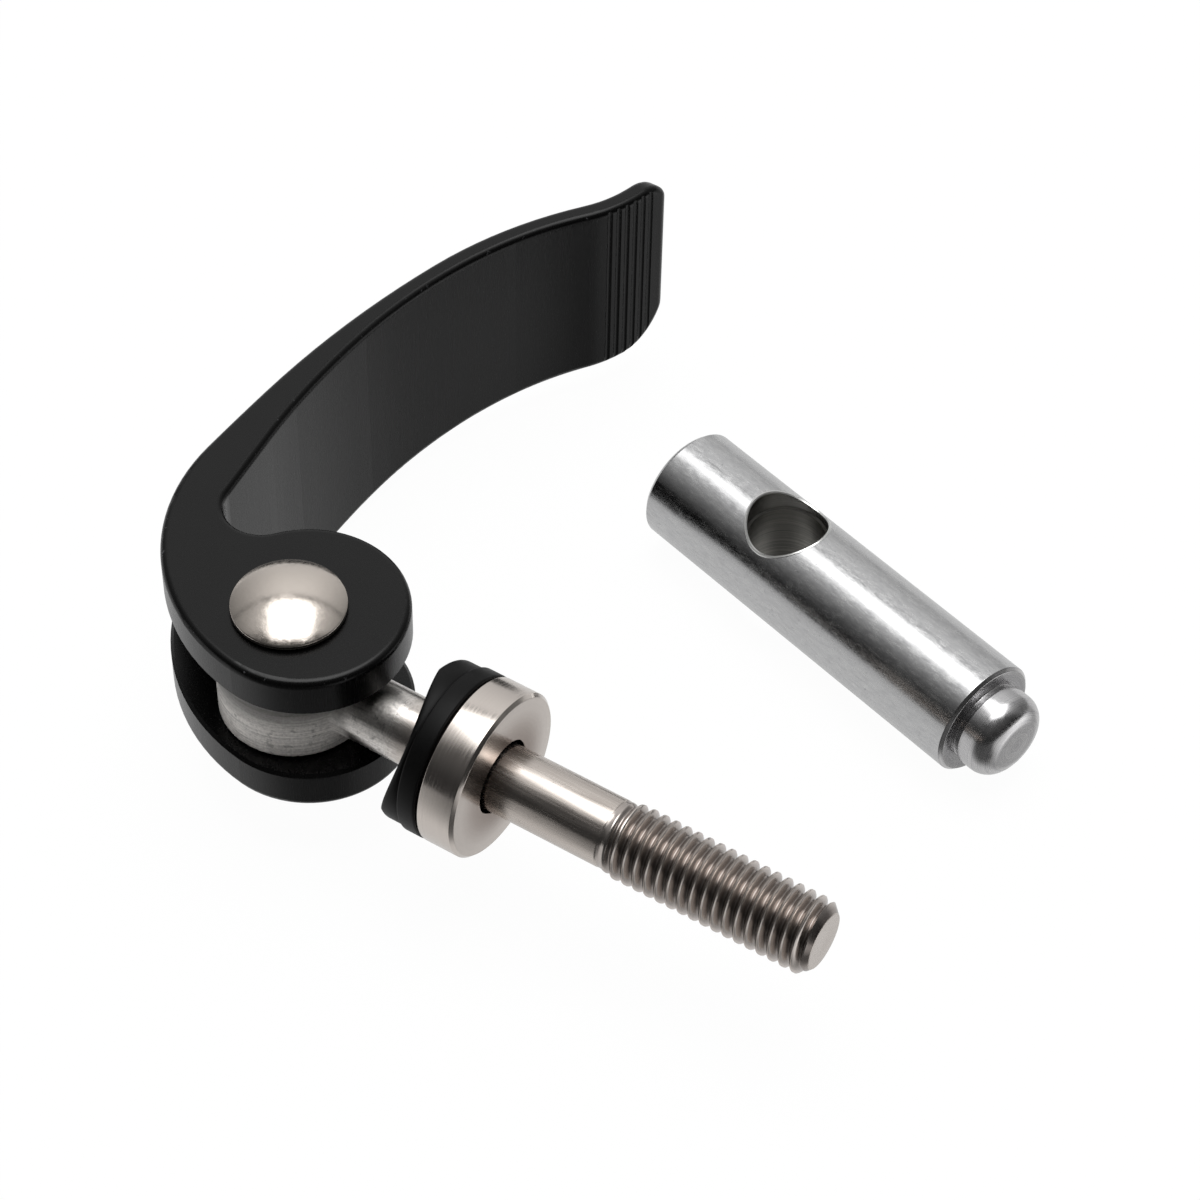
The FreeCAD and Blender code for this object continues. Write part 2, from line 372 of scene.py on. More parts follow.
def black_coat():
    """Satin black coat on cast aluminium: deep black, soft sheen, upright draw lines, nicked rims."""
    material, tree, bsdf = new_material("black_powder_coat")
    place = add(tree, "ShaderNodeTexCoord").outputs["Object"]
    height = add(tree, "ShaderNodeSeparateXYZ", (place,)).outputs["Z"]
    drawn = grain(tree, place, (0.3, 0.3, 8.0), detail=2.0)
    base = two_tone(tree, grain(tree, place, 5.0), 0.3, "#050505", 0.7, "#080808")
    below_top = add(tree, "ShaderNodeMath", (LEVER_TOP * MM, height), operation="SUBTRACT")
    rim_starts = add(tree, "ShaderNodeMapRange", (below_top, SCUFF_STARTS * MM, SCUFF_FULL * MM, 0.0, 1.0),
                     interpolation_type="SMOOTHSTEP")
    rim_ends = add(tree, "ShaderNodeMapRange", (below_top, SCUFF_FADES * MM, SCUFF_ENDS * MM, 1.0, 0.0),
                   interpolation_type="SMOOTHSTEP")
    on_rim = add(tree, "ShaderNodeMath", (rim_starts, rim_ends), operation="MULTIPLY")
    nicks = add(tree, "ShaderNodeMapRange", (grain(tree, place, 0.55, detail=2.0), 0.68, 0.76, 0.0, 0.6),
                interpolation_type="SMOOTHSTEP")
    scuffs = add(tree, "ShaderNodeMath", (on_rim, nicks), operation="MULTIPLY")
    worn = add(tree, "ShaderNodeMix", {0: scuffs, 6: base, 7: linear("#5a5a5c")}, data_type="RGBA")
    connect(tree, bsdf, {
        "Base Color": worn,
        "Roughness": add(tree, "ShaderNodeMapRange", (drawn, 0.3, 0.7, 0.25, 0.28),
                         interpolation_type="SMOOTHSTEP"),
        "Specular IOR Level": 0.26})
    return material


def polished_nickel():
    """Barrel-polished nickel plate: warm mirror with a slight ripple."""
    material, tree, bsdf = new_material("polished_nickel")
    place = add(tree, "ShaderNodeTexCoord").outputs["Object"]
    ripple = grain(tree, place, 0.7, detail=6.0, roughness=0.6)
    connect(tree, bsdf, {
        "Base Color": linear("#d6cdc4"), "Metallic": 1.0,
        "Roughness": add(tree, "ShaderNodeMapRange", (ripple, 0.35, 0.7, 0.12, 0.24),
                         interpolation_type="SMOOTHSTEP"),
        "Normal": add(tree, "ShaderNodeBump", {"Height": ripple, "Strength": 0.5, "Distance": 0.03 * MM})})
    return material


def rolled_steel():
    """Cold-rolled stainless bolt: bright warm metal with fine lengthwise lines and a few pits."""
    material, tree, bsdf = new_material("rolled_stainless_steel")
    place = add(tree, "ShaderNodeTexCoord").outputs["Object"]
    lines = grain(tree, place, (6.0, 0.3, 0.3))
    pits = add(tree, "ShaderNodeMapRange", (grain(tree, place, 0.5, detail=2.0), 0.68, 0.74, 0.0, 0.5),
               interpolation_type="SMOOTHSTEP")
    base = two_tone(tree, lines, 0.3, "#c3bab3", 0.7, "#d0c8c1")
    connect(tree, bsdf, {
        "Base Color": add(tree, "ShaderNodeMix", {0: pits, 6: base, 7: linear("#8d857f")}, data_type="RGBA"),
        "Metallic": 1.0,
        "Roughness": add(tree, "ShaderNodeMapRange", (lines, 0.3, 0.7, 0.2, 0.3),
                         interpolation_type="SMOOTHSTEP"),
        "Normal": add(tree, "ShaderNodeBump", {"Height": lines, "Strength": 0.1, "Distance": 0.02 * MM})})
    return material


def threaded_steel():
    """Rolled thread of the same bolt: painted shade, a little darker from the crests towards the roots."""
    material, tree, bsdf = new_material("rolled_thread_steel")
    place = add(tree, "ShaderNodeTexCoord").outputs["Object"]
    radius, _ = about_axis(tree, place)
    crest = THREAD_CREST * MM
    # Painted shade in the thread's grooves: darker from the crest down to the root
    root_shaded = two_tone(tree, radius, THREAD_DARK_SHARE * crest, "#9a928d",
                         THREAD_BRIGHT_SHARE * crest, "#d2cac4")
    connect(tree, bsdf, {"Base Color": root_shaded, "Metallic": 1.0, "Roughness": 0.24})
    return material


def blasted_steel():
    """Blasted forging: dull grit, lines round the eye, painted shade under the cheek, smooth towards the
    shank.
    """
    material, tree, bsdf = new_material("blasted_forged_steel")
    place = add(tree, "ShaderNodeTexCoord").outputs["Object"]
    parts = add(tree, "ShaderNodeSeparateXYZ", (place,)).outputs
    from_pivot = add(tree, "ShaderNodeMath", (parts["X"], PIVOT_X * MM), operation="SUBTRACT")
    shank = add(tree, "ShaderNodeMapRange",
                (from_pivot, EYE_RADIUS * MM, (EYE_RADIUS + EYE_DULL_REACH) * MM, 0.0, 1.0),
                interpolation_type="SMOOTHSTEP")
    rolled = add(tree, "ShaderNodeMapRange", (from_pivot, (FORGED_ENDS - FORGED_FADE) * MM, FORGED_ENDS * MM,
                                              0.0, 1.0), interpolation_type="SMOOTHSTEP")
    grit = grain(tree, place, 0.3, detail=4.0, roughness=0.7)
    half_grit = add(tree, "ShaderNodeMath", (grit, 0.5), operation="MULTIPLY")
    lined = add(tree, "ShaderNodeMath", (grain(tree, place, (5.0, 5.0, 0.2)), 0.5, half_grit),
                operation="MULTIPLY_ADD")
    pale = two_tone(tree, lined, 0.36, "#b2aeaa", 0.64, "#f4f0eb")
    blotches = add(tree, "ShaderNodeMapRange",
                   (grain(tree, place, 1.1, detail=4.0, roughness=0.6), 0.54, 0.7, 0.0, 0.5),
                   interpolation_type="SMOOTHSTEP")
    # Painted shade: the eye darkens towards its top, where the upper cheek overhangs it, and not on the shank
    shade_by_height = add(tree, "ShaderNodeMapRange", (parts["Z"], CHEEK_SHADE_BOTTOM * MM, CHEEK_SHADE_TOP * MM, 0.0, 0.8),
                 interpolation_type="SMOOTHSTEP")
    off_shank = add(tree, "ShaderNodeMath", (1.0, shank), operation="SUBTRACT")
    painted_cheek_shade = add(tree, "ShaderNodeMath", (shade_by_height, off_shank), operation="MULTIPLY")
    darker = add(tree, "ShaderNodeMath", (painted_cheek_shade, blotches), operation="MAXIMUM")
    forged = add(tree, "ShaderNodeMix", {0: darker, 6: pale, 7: linear("#3b3937")}, data_type="RGBA")
    from_parting = add(tree, "ShaderNodeMath", (parts["Z"],), operation="ABSOLUTE")
    seam = add(tree, "ShaderNodeMapRange",
               (from_parting, PARTING_HALF_WIDTH * MM, PARTING_FADE * MM, 0.35, 0.0),
               interpolation_type="SMOOTHSTEP")
    off_rolled = add(tree, "ShaderNodeMath", (1.0, rolled), operation="SUBTRACT")
    seamed = add(tree, "ShaderNodeMath", (grit, seam), operation="ADD")
    rough = add(tree, "ShaderNodeMath", (seamed, off_rolled), operation="MULTIPLY")
    dull = add(tree, "ShaderNodeMapRange", (shank, 0.0, 1.0, 0.5, 0.28), interpolation_type="SMOOTHSTEP")
    faded = add(tree, "ShaderNodeMix", {0: rolled, 6: forged, 7: linear("#cac2bb")}, data_type="RGBA")
    connect(tree, bsdf, {
        "Base Color": faded,
        "Metallic": add(tree, "ShaderNodeMapRange", (shank, 0.0, 1.0, 0.3, 1.0),
                        interpolation_type="SMOOTHSTEP"),
        "Roughness": add(tree, "ShaderNodeMath", (rolled, -0.04, dull), operation="MULTIPLY_ADD"),
        "Normal": add(tree, "ShaderNodeBump", {"Height": rough, "Strength": 0.4, "Distance": 0.05 * MM})})
    return material


def turned_stainless():
    """Faced stainless washer: fine rings that draw the light out sideways, and a painted brown shade and
    reflection of the bolt round the bore.
    """
    material, tree, bsdf = new_material("turned_stainless_steel")
    place = add(tree, "ShaderNodeTexCoord").outputs["Object"]
    radius, ring = about_axis(tree, place)
    rings = grain(tree, ring, 0.22)
    # Painted shade and reflection of the bolt: darker brown from the bore outwards
    painted_bore_shade = add(tree, "ShaderNodeMapRange", (radius, WASHER_BORE * MM, BORE_SHADE_REACH * MM, 0.75, 0.0),
               interpolation_type="SMOOTHSTEP")
    connect(tree, bsdf, {
        "Base Color": add(tree, "ShaderNodeMix", {0: painted_bore_shade, 6: linear("#d0c8c1"), 7: linear("#7b6a60")},
                          data_type="RGBA"),
        "Metallic": 1.0,
        "Roughness": add(tree, "ShaderNodeMapRange", (rings, 0.3, 0.7, 0.15, 0.24),
                         interpolation_type="SMOOTHSTEP"),
        "Normal": add(tree, "ShaderNodeBump", {"Height": rings, "Strength": 0.1, "Distance": 0.02 * MM})})
    return material


def black_nylon():
    """Moulded black nylon: matte, faint grain, soft edge light."""
    material, tree, bsdf = new_material("moulded_black_nylon")
    place = add(tree, "ShaderNodeTexCoord").outputs["Object"]
    skin = grain(tree, place, 0.35)
    connect(tree, bsdf, {
        "Base Color": two_tone(tree, skin, 0.3, "#060606", 0.7, "#0a0a0a"),
        "Roughness": 0.45, "Specular IOR Level": 0.15,
        "Normal": add(tree, "ShaderNodeBump", {"Height": skin, "Strength": 0.2, "Distance": 0.02 * MM})})
    return material


def along_barrel(tree, place):
    """Place turned and moved so that X runs along the nut from the middle of its far end."""
    turn = Matrix.Rotation(radians(-NUT_HEADING), 3, "Z")
    end = turn @ Vector((NUT_END[0] + PIVOT_X, NUT_END[1], FLOOR_Z + NUT_RADIUS))
    return add(tree, "ShaderNodeMapping", {"Vector": place, "Location": -end * MM,
                                           "Rotation": (0, 0, radians(-NUT_HEADING))})


def within_hole(tree, parts):
    """1 on the wall of the nut's cross hole, 0 elsewhere."""
    past_end = add(tree, "ShaderNodeMath", (parts["X"], NUT_HOLE_FROM_END * MM), operation="SUBTRACT")
    from_axis = add(tree, "ShaderNodeCombineXYZ", (past_end, parts["Y"]))
    radius = add(tree, "ShaderNodeVectorMath", (from_axis,), operation="LENGTH")
    return add(tree, "ShaderNodeMapRange",
               (radius, (NUT_HOLE - HOLE_EDGE_IN) * MM, (NUT_HOLE + HOLE_EDGE_OUT) * MM, 1.0, 0.0),
               interpolation_type="SMOOTHSTEP")


def drawn_steel():
    """Drawn bright steel bar: cool grey, frayed streaks, tool rings on the turned end, dull drilled hole
    darkened further with painted shade.
    """
    material, tree, bsdf = new_material("drawn_bright_steel")
    place = add(tree, "ShaderNodeTexCoord").outputs["Object"]
    barrel_place = along_barrel(tree, place)
    parts = add(tree, "ShaderNodeSeparateXYZ", (barrel_place,)).outputs
    in_hole = within_hole(tree, parts)
    turned_end = add(tree, "ShaderNodeMapRange",
                     (parts["X"], (NUT_LENGTH - TURNED_END_STARTS) * MM,
                      (NUT_LENGTH - TURNED_END_FULL) * MM, 0.0, 1.0),
                     interpolation_type="SMOOTHSTEP")
    streaks = grain(tree, barrel_place, (1.2, 0.2, 0.2), detail=4.0, roughness=0.6)
    mottle = grain(tree, barrel_place, (1.3, 0.4, 0.4), detail=5.0, roughness=0.7)
    rings = grain(tree, about_axis(tree, barrel_place)[1], 0.06, detail=2.0)
    drill_marks = grain(tree, barrel_place, (9.0, 9.0, 0.12), detail=2.0)
    dots = grain(tree, barrel_place, 0.3, detail=2.0)
    specks = add(tree, "ShaderNodeMapRange", (dots, 0.68, 0.76, 0.0, 0.6), interpolation_type="SMOOTHSTEP")
    bright = two_tone(tree, mottle, 0.3, "#b2b2b3", 0.68, "#cbcbcb")
    bar = add(tree, "ShaderNodeMix", {0: specks, 6: bright, 7: linear("#7d7d80")}, data_type="RGBA")
    ringed = two_tone(tree, rings, 0.35, "#acabae", 0.65, "#d6d5d4")
    outside = add(tree, "ShaderNodeMix", {0: turned_end, 6: bar, 7: ringed}, data_type="RGBA")
    # Hole wall: duller drilled finish, made darker still by painted shade inside the hole
    drilled = two_tone(tree, drill_marks, 0.3, "#6b6a67", 0.7, "#8c8a84")
    off_end = add(tree, "ShaderNodeMath", (1.0, turned_end), operation="SUBTRACT")
    along_marks = add(tree, "ShaderNodeMath", (streaks, off_end), operation="MULTIPLY")
    marks = add(tree, "ShaderNodeMath", (rings, turned_end, along_marks), operation="MULTIPLY_ADD")
    satin = add(tree, "ShaderNodeMapRange", (mottle, 0.3, 0.7, 0.19, 0.29), interpolation_type="SMOOTHSTEP")
    connect(tree, bsdf, {
        "Base Color": add(tree, "ShaderNodeMix", {0: in_hole, 6: outside, 7: drilled}, data_type="RGBA"),
        "Metallic": 1.0,
        "Roughness": add(tree, "ShaderNodeMath", (in_hole, 0.15, satin), operation="MULTIPLY_ADD"),
        "Normal": add(tree, "ShaderNodeBump", {"Height": marks, "Strength": 0.07, "Distance": 0.03 * MM})})
    return material


def torn_steel():
    """Torn edge that the drill left round the hole: bright ragged line."""
    material, tree, bsdf = new_material("torn_steel_burr")
    connect(tree, bsdf, {"Base Color": linear("#d8d8d6"), "Metallic": 1.0, "Roughness": 0.3})
    return material


# Pieces

def rivet(material):
    """Domed head with a rolled rim, plain shank, and a tail spread into the lower cheek."""
    rim_low = RIVET_SEAT_Z + RIVET_UNDERCUT
    rim_high = rim_low + RIVET_RIM
    ball = (RIVET_HEAD ** 2 + RIVET_DOME ** 2) / (2 * RIVET_DOME)
    centre = rim_high + RIVET_DOME - ball
    radii = [RIVET_HEAD * k / RIVET_DOME_STEPS for k in range(RIVET_DOME_STEPS - 1, -1, -1)]
    dome = [(centre + sqrt(ball ** 2 - radius ** 2), radius) for radius in radii]
    low = rounded([(-RIVET_SEAT_Z, 0, 0), (-RIVET_SEAT_Z, RIVET_TAIL, 0),
                   (RIVET_TAIL_DEPTH - RIVET_SEAT_Z, RIVET_SHANK, 0), (RIVET_SEAT_Z, RIVET_SHANK, 0),
                   (RIVET_SEAT_Z, RIVET_SEAT, 0), (rim_low, RIVET_HEAD, RIVET_HEEL_ROUND),
                   (rim_high, RIVET_HEAD, RIVET_RIM_ROUND), (*dome[1], 0)])
    profile = low[:-1] + dome[2:]
    piece("rivet_domed", revolved(lambda angle: profile, segments=128), material, "lever",
          "pivot_rivet", sharp=40, place=Matrix.Rotation(radians(-90), 4, "Y"))


def eye_forging():
    """Eye and the forged end of the shank as one fused shape, with a soft crease between them."""
    half = EYE_HEIGHT / 2
    wall = [(-half, EYE_BORE), (-half, EYE_RADIUS), (half, EYE_RADIUS), (half, EYE_BORE)]
    drum = revolved(lambda angle: wall, segments=96, closed=True)
    drum.transform(Matrix.Rotation(radians(-90), 4, "Y"))
    root = EYE_BORE + EYE_WALL_TO_STUB
    end = FORGED_ENDS + LAP
    bar = [(root, 0), (root, SHANK_RADIUS), (FORGED_ENDS, SHANK_RADIUS),
           (end, SHANK_RADIUS - LAP_DROP), (end, 0)]
    stub = revolved(lambda angle: bar, segments=64)
    scratch = scratch_object(joined(drum, stub))
    remesh = scratch.modifiers.new("fuse", "REMESH")
    remesh.mode = "VOXEL"
    remesh.voxel_size = EYE_VOXEL
    soften = scratch.modifiers.new("soften", "SMOOTH")
    soften.factor = 0.5
    soften.iterations = EYE_SMOOTHINGS
    return evaluated(scratch)


def shank_and_core():
    """Plain shank, the thread's core and the faced tip."""
    start = FORGED_ENDS - LAP
    core = THREAD_ROOT - CORE_DROP
    profile = rounded([(start, 0, 0), (start, SHANK_RADIUS - LAP_DROP, 0),
                       (FORGED_ENDS - LAP_END, SHANK_RADIUS, 0),
                       (THREAD_STARTS - SHANK_SHOULDER, SHANK_RADIUS, SHANK_SHOULDER),
                       (THREAD_STARTS + CORE_STARTS, core, 0), (THREAD_TIP - CORE_ENDS, core, 0),
                       (THREAD_TIP, THREAD_CREST - TIP_CHAMFER, TIP_ROUND),
                       (THREAD_TIP - TIP_DISH_EDGE, TIP_DISH_RADIUS, 0), (THREAD_TIP - TIP_DISH, 0, 0)])
    return revolved(lambda angle: profile, segments=96)


def sized_tree(name, sizes):
    """Geometry Nodes tree that takes these named sizes and a finish, with its input sockets."""
    tree = bpy.data.node_groups.new(name, "GeometryNodeTree")
    for size in sizes:
        tree.interface.new_socket(size, in_out="INPUT", socket_type="NodeSocketFloat")
    tree.interface.new_socket("Finish", in_out="INPUT", socket_type="NodeSocketMaterial")
    tree.interface.new_socket("Geometry", in_out="OUTPUT", socket_type="NodeSocketGeometry")
    return tree, add(tree, "NodeGroupInput").outputs


def end_tree(tree, shape, finish):
    """End a tree in a real mesh of one finish."""
    real = add(tree, "GeometryNodeRealizeInstances", {"Geometry": shape})
    dressed = add(tree, "GeometryNodeSetMaterial", {"Geometry": real, "Material": finish})
    add(tree, "NodeGroupOutput", {"Geometry": dressed})


def thread_wall(tree, given, along, from_crest):
    """Radius of the thread: crest to root, run in from the shank and cut to a cone at the tip."""
    flank = add(tree, "ShaderNodeMapRange",
                (from_crest, CREST_FLAT, ROOT_FROM_CREST, given["Crest"], given["Root"]),
                interpolation_type="SMOOTHSTEP")
    fold = add(tree, "ShaderNodeMapRange", (from_crest, 0.0, CREST_FOLD_WIDTH, CREST_FOLD, 0.0))
    creased = add(tree, "ShaderNodeMath", (flank, fold), operation="SUBTRACT")
    run_in = add(tree, "ShaderNodeMath", (given["Pitch"], RUN_IN_PITCHES, given["Start"]),
                 operation="MULTIPLY_ADD")
    cut = add(tree, "ShaderNodeMapRange", (along, given["Start"], run_in), interpolation_type="SMOOTHSTEP")
    wall = add(tree, "ShaderNodeMix", {0: cut, 2: given["Shank"], 3: creased})
    to_tip = add(tree, "ShaderNodeMath", (given["Tip"], along), operation="SUBTRACT")
    before_tip = add(tree, "ShaderNodeMath", (to_tip, 0.0), operation="MAXIMUM")
    cone = add(tree, "ShaderNodeMath", (given["Tip Radius"], before_tip), operation="ADD")
    return add(tree, "ShaderNodeMath", (wall, cone), operation="MINIMUM")


def thread_tree():
    """Right-hand thread: a strip one pitch wide wound round the bolt, its edges meeting at the root."""
    tree, given = sized_tree("rolled_thread", ("Turns", "Pitch", "Start", "Tip", "Crest", "Root", "Shank",
                                               "Tip Radius"))
    strip = add(tree, "GeometryNodeMeshGrid", {"Size X": given["Turns"], "Size Y": 1.0,
                                               "Vertices X": THREAD_STEPS + 1, "Vertices Y": FLANK_STEPS + 1})
    spot = add(tree, "ShaderNodeSeparateXYZ", (add(tree, "GeometryNodeInputPosition"),)).outputs
    half = add(tree, "ShaderNodeMath", (given["Turns"], 0.5), operation="MULTIPLY")
    turn = add(tree, "ShaderNodeMath", (spot["X"], half), operation="ADD")
    pitches = add(tree, "ShaderNodeMath", (turn, spot["Y"]), operation="ADD")
    along = add(tree, "ShaderNodeMath", (pitches, given["Pitch"], given["Start"]), operation="MULTIPLY_ADD")
    from_crest = add(tree, "ShaderNodeMath", (spot["Y"],), operation="ABSOLUTE")
    radius = thread_wall(tree, given, along, from_crest)
    kept = add(tree, "ShaderNodeMath", (along, given["Tip"]), operation="MINIMUM")
    angle = add(tree, "ShaderNodeMath", (turn, 2 * pi), operation="MULTIPLY")
    cosine = add(tree, "ShaderNodeMath", (angle,), operation="COSINE")
    sine = add(tree, "ShaderNodeMath", (angle,), operation="SINE")
    y = add(tree, "ShaderNodeMath", (radius, cosine), operation="MULTIPLY")
    z = add(tree, "ShaderNodeMath", (radius, sine), operation="MULTIPLY")
    place = add(tree, "ShaderNodeCombineXYZ", (kept, y, z))
    wound = add(tree, "GeometryNodeSetPosition", {"Geometry": strip, "Position": place})
    welded = add(tree, "GeometryNodeMergeByDistance", {"Geometry": wound, "Distance": THREAD_WELD})
    end_tree(tree, welded, given["Finish"])
    return tree


def node_mesh(tree, values):
    """Plain mesh that a Geometry Nodes tree makes from its named inputs."""
    scratch = scratch_object(bpy.data.meshes.new("empty"))
    modifier = scratch.modifiers.new("nodes", "NODES")
    modifier.node_group = tree
    for item in tree.interface.items_tree:
        if item.in_out == "INPUT":
            modifier[item.identifier] = values[item.name]
    return evaluated(scratch)


def bolt(steel, forged, threaded):
    """Forged eye, rolled shank and rolled thread."""
    piece("eye_forged", eye_forging(), forged, "bolt", "eye_bolt", sharp=60)
    piece("shank_rolled", shank_and_core(), steel, "bolt", "eye_bolt")
    turns = (THREAD_TIP - THREAD_STARTS) / THREAD_PITCH + 1.0
    thread = node_mesh(thread_tree(), {
        "Turns": turns, "Pitch": THREAD_PITCH, "Start": THREAD_STARTS, "Tip": THREAD_TIP - TIP_INSET,
        "Crest": THREAD_CREST, "Root": THREAD_ROOT, "Shank": SHANK_RADIUS - RUN_IN_DROP,
        "Tip Radius": THREAD_CREST - TIP_CHAMFER, "Finish": threaded})
    piece("thread_rolled", thread, threaded, "bolt", "eye_bolt", sharp=60)


def washer(material):
    """Turned washer with chamfered rims, and a lip close to the bolt at its front."""
    edge = WASHER_RADIUS - WASHER_CHAMFER
    profile = rounded([(WASHER_FRONT, WASHER_LIP + WASHER_LIP_CHAMFER, WASHER_LIP_ROUND),
                       (WASHER_FRONT, edge, WASHER_FACE_ROUND),
                       (WASHER_FRONT - WASHER_CHAMFER, WASHER_RADIUS, WASHER_RIM_ROUND),
                       (WASHER_BACK + WASHER_CHAMFER, WASHER_RADIUS, WASHER_RIM_ROUND),
                       (WASHER_BACK, edge, WASHER_FACE_ROUND),
                       (WASHER_BACK, WASHER_BORE + WASHER_BORE_CHAMFER, WASHER_BORE_ROUND),
                       (WASHER_BACK + WASHER_BORE_CHAMFER, WASHER_BORE, WASHER_BORE_ROUND),
                       (WASHER_FRONT - WASHER_LIP_CHAMFER, WASHER_LIP, WASHER_LIP_ROUND)])
    piece("washer_turned", revolved(lambda angle: profile, segments=160, closed=True), material, "washer",
          "steel_washer")


def trough_back(y):
    """How far along the bolt the saddle's back lies, across the trough."""
    return max(TROUGH_LOW - TROUGH_RADIUS + sqrt(TROUGH_RADIUS ** 2 - y ** 2), HORN_TIP)


def saddle_profile(angle):
    """Flange, groove, rounded body and trough at this angle round the bolt."""
    side = cos(angle)
    points = rounded([(FLANGE_FRONT, WASHER_BORE, 0), (FLANGE_FRONT, WASHER_RADIUS, FLANGE_ROUND),
                      (FLANGE_BACK, WASHER_RADIUS, FLANGE_ROUND),
                      (FLANGE_BACK, SADDLE_BODY - SADDLE_GROOVE, SADDLE_GROOVE_ROUND),
                      (FLANGE_BACK - 2 * SADDLE_GROOVE, SADDLE_BODY, 0)])
    for k in range(SADDLE_ROUND_STEPS + 1):
        turn = radians(90 * k / SADDLE_ROUND_STEPS)
        radius = SADDLE_BODY - SADDLE_ROUND * (1 - cos(turn))
        points.append((trough_back(radius * side) + SADDLE_ROUND * (1 - sin(turn)), radius))
    inner = SADDLE_BODY - SADDLE_ROUND
    for k in range(1, SADDLE_BACK_STEPS + 1):
        radius = inner + (WASHER_BORE - inner) * k / SADDLE_BACK_STEPS
        points.append((trough_back(radius * side), radius))
    return points


def saddle(material):
    piece("saddle_moulded", revolved(saddle_profile, segments=144, closed=True), material, "saddle",
          "cam_saddle_washer", place=Matrix.Rotation(radians(SADDLE_TURN), 4, "X"))


def nut_place():
    return (Matrix.Translation((NUT_END[0], NUT_END[1], FLOOR_Z + NUT_RADIUS))
            @ Matrix.Rotation(radians(NUT_HEADING), 4, "Z"))


def bar_profile():
    """Far chamfer, plain barrel in short lengths, near chamfer, neck and nipple."""
    first = NUT_FAR_CHAMFER + NUT_ROUND
    span = NUT_LENGTH - NUT_FAR_CHAMFER - first
    plain = [(first + span * k / NUT_STEPS, NUT_RADIUS) for k in range(NUT_STEPS + 1)]
    far = rounded([(0, 0, 0), (0, NUT_RADIUS - NUT_FAR_CHAMFER, NUT_ROUND),
                   (NUT_FAR_CHAMFER, NUT_RADIUS, NUT_ROUND), (*plain[0], 0)])
    neck_end = NUT_LENGTH + NIPPLE_NECK_LENGTH
    near = rounded([(*plain[-1], 0), (NUT_LENGTH - NUT_NEAR_CHAMFER, NUT_RADIUS, NUT_ROUND),
                    (NUT_LENGTH, NUT_RADIUS - NUT_NEAR_CHAMFER, NUT_ROUND),
                    (NUT_LENGTH, NIPPLE_NECK, NUT_ROUND), (neck_end, NIPPLE_NECK, NUT_ROUND),
                    (neck_end, NIPPLE_RADIUS, NIPPLE_HEEL_ROUND), (NIPPLE_END, NIPPLE_RADIUS, NIPPLE_ROUND),
                    (NIPPLE_END, 0, 0)], steps=12)
    return far[:-1] + plain + near[1:]


def barrel(material):
    """Turned barrel with its nipple, drilled across."""
    profile = bar_profile()
    body = scratch_object(revolved(lambda angle: profile, segments=160))
    reach = 2 * NUT_RADIUS
    bit = [(-reach, 0), (-reach, NUT_BORE), (NUT_MOUTH_Z - NUT_MOUTH_SLOPE, NUT_BORE),
           (NUT_MOUTH_Z, NUT_HOLE), (reach, NUT_HOLE), (reach, 0)]
    drilled = revolved(lambda angle: bit, segments=128)
    drilled.transform(Matrix.Translation((NUT_HOLE_FROM_END, 0, 0)) @ Matrix.Rotation(radians(-90), 4, "Y"))
    drill = scratch_object(drilled)
    cut = body.modifiers.new("cross_hole", "BOOLEAN")
    cut.operation = "DIFFERENCE"
    cut.solver = "EXACT"
    cut.object = drill
    mesh = evaluated(body)
    bpy.data.objects.remove(drill)
    piece("nut_barrel", mesh, material, "bolt", "barrel_nut", place=nut_place())


def burr_tree():
    """Ragged wire round the mouth of the cross hole, where the drill's cylinder meets the barrel's."""
    tree, given = sized_tree("drill_burr", ("Hole", "Barrel", "Burr"))
    ring = add(tree, "GeometryNodeCurvePrimitiveCircle", {"Resolution": BURR_STEPS, "Radius": given["Hole"]})
    here = add(tree, "GeometryNodeInputPosition")
    spot = add(tree, "ShaderNodeSeparateXYZ", (here,)).outputs
    barrel_square = add(tree, "ShaderNodeMath", (given["Barrel"], given["Barrel"]), operation="MULTIPLY")
    across_square = add(tree, "ShaderNodeMath", (spot["Y"], spot["Y"]), operation="MULTIPLY")
    rise_square = add(tree, "ShaderNodeMath", (barrel_square, across_square), operation="SUBTRACT")
    rise = add(tree, "ShaderNodeMath", (rise_square,), operation="SQRT")
    drop = add(tree, "ShaderNodeMath", (given["Burr"], BURR_SUNK_SHARE), operation="MULTIPLY")
    sunk = add(tree, "ShaderNodeMath", (rise, drop), operation="SUBTRACT")
    place = add(tree, "ShaderNodeCombineXYZ", (spot["X"], spot["Y"], sunk))
    lifted = add(tree, "GeometryNodeSetPosition", {"Geometry": ring, "Position": place})
    torn = add(tree, "ShaderNodeTexNoise", {"Vector": here, "Scale": BURR_BUMPS_PER_MM, "Detail": 4.0,
                                            "Roughness": 0.7})
    thick = add(tree, "ShaderNodeMapRange", (torn, 0.38, 0.68, BURR_THIN_SHARE, BURR_THICK_SHARE),
                interpolation_type="SMOOTHSTEP")
    wire = add(tree, "GeometryNodeSetCurveRadius", {"Curve": lifted, "Radius": thick})
    section = add(tree, "GeometryNodeCurvePrimitiveCircle", {"Resolution": BURR_SIDES,
                                                             "Radius": given["Burr"]})
    tube = add(tree, "GeometryNodeCurveToMesh", {"Curve": wire, "Profile Curve": section})
    end_tree(tree, tube, given["Finish"])
    return tree


def hole_burr(material):
    mesh = node_mesh(burr_tree(), {"Hole": NUT_HOLE, "Barrel": NUT_RADIUS, "Burr": BURR_RADIUS,
                                   "Finish": material})
    piece("hole_burr", mesh, material, "bolt", "barrel_nut",
          place=nut_place() @ Matrix.Translation((NUT_HOLE_FROM_END, 0, 0)))


# Stage

